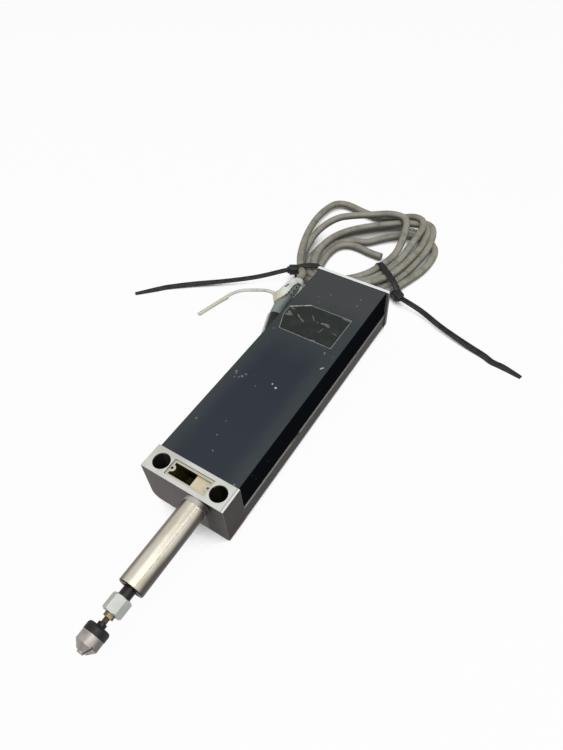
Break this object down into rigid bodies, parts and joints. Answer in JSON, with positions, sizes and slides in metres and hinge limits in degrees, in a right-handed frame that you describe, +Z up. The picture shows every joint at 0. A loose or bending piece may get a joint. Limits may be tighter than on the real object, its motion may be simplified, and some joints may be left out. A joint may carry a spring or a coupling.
{
  "type": "linear encoder",
  "caption": "Plunger-type linear encoder: long black housing, machined end block with a window, round clamping stem, sliding spindle with a slotted nose, and a tied coil of grey cord.",
  "frame": {"origin": "on the resting plane, under the middle of the housing and spindle taken together", "axes": "+X along the measuring axis to the tip, +Y to the stem's side of the housing, +Z up"},
  "size_m": [0.4214, 0.2976, 0.035],
  "materials": {
    "machined_aluminium": "machined",
    "black_paint": "satin",
    "bright_steel": "brushed",
    "dark_steel": "ground",
    "brass": "turned",
    "black_plastic": "matte",
    "black_rubber": "matte",
    "grey_rubber": "matte",
    "cord_sheath": "matte",
    "white_plastic": "satin",
    "clear_glass": "polished",
    "board_green": "satin"
  },
  "bodies": {
    "housing": {"front_block": "machined_aluminium", "base_rail": "machined_aluminium", "rear_plate": "machined_aluminium", "cover": "black_paint", "label_plate": "black_paint", "stem": "bright_steel", "front_bush": "brass", "wiper_seal": "black_rubber", "rear_bush": "brass", "stop_washer": "black_rubber", "tie_rods": "bright_steel", "rear_plate_screws": "dark_steel", "rail_dowels": "bright_steel", "guide_rod": "bright_steel", "rod_bracket": "machined_aluminium", "reader_bracket": "machined_aluminium", "reader_screws": "dark_steel", "index_grating": "clear_glass", "detector": "black_plastic", "lamp": "white_plastic", "circuit_board": "board_green", "board_pillars": "brass", "board_screws": "bright_steel", "board_chips": "black_plastic", "board_connector": "white_plastic", "inner_lead": "cord_sheath", "cord_outlet": "bright_steel", "outlet_screws": "dark_steel", "cord_boot": "grey_rubber", "cord_lead": "cord_sheath", "cord_coil": "cord_sheath", "cable_tie_left": "black_plastic", "cable_tie_right": "black_plastic", "cable_tie_white": "white_plastic"},
    "plunger": {"spindle": "dark_steel", "hex_standoff": "machined_aluminium", "lock_nut": "brass", "stud": "brass", "hub_nut": "dark_steel", "tip_ring": "black_plastic", "collet_nose": "bright_steel", "contact_pin": "bright_steel", "scale_carrier": "machined_aluminium", "carrier_screw": "dark_steel", "glass_scale": "clear_glass", "scale_clamp": "bright_steel"}
  },
  "joints": [
    {"name": "plunger_slide", "type": "slide", "parent": "housing", "child": "plunger", "axis": [1, 0, 0], "range_m": [-0.0045, 0.0455]}
  ]
}
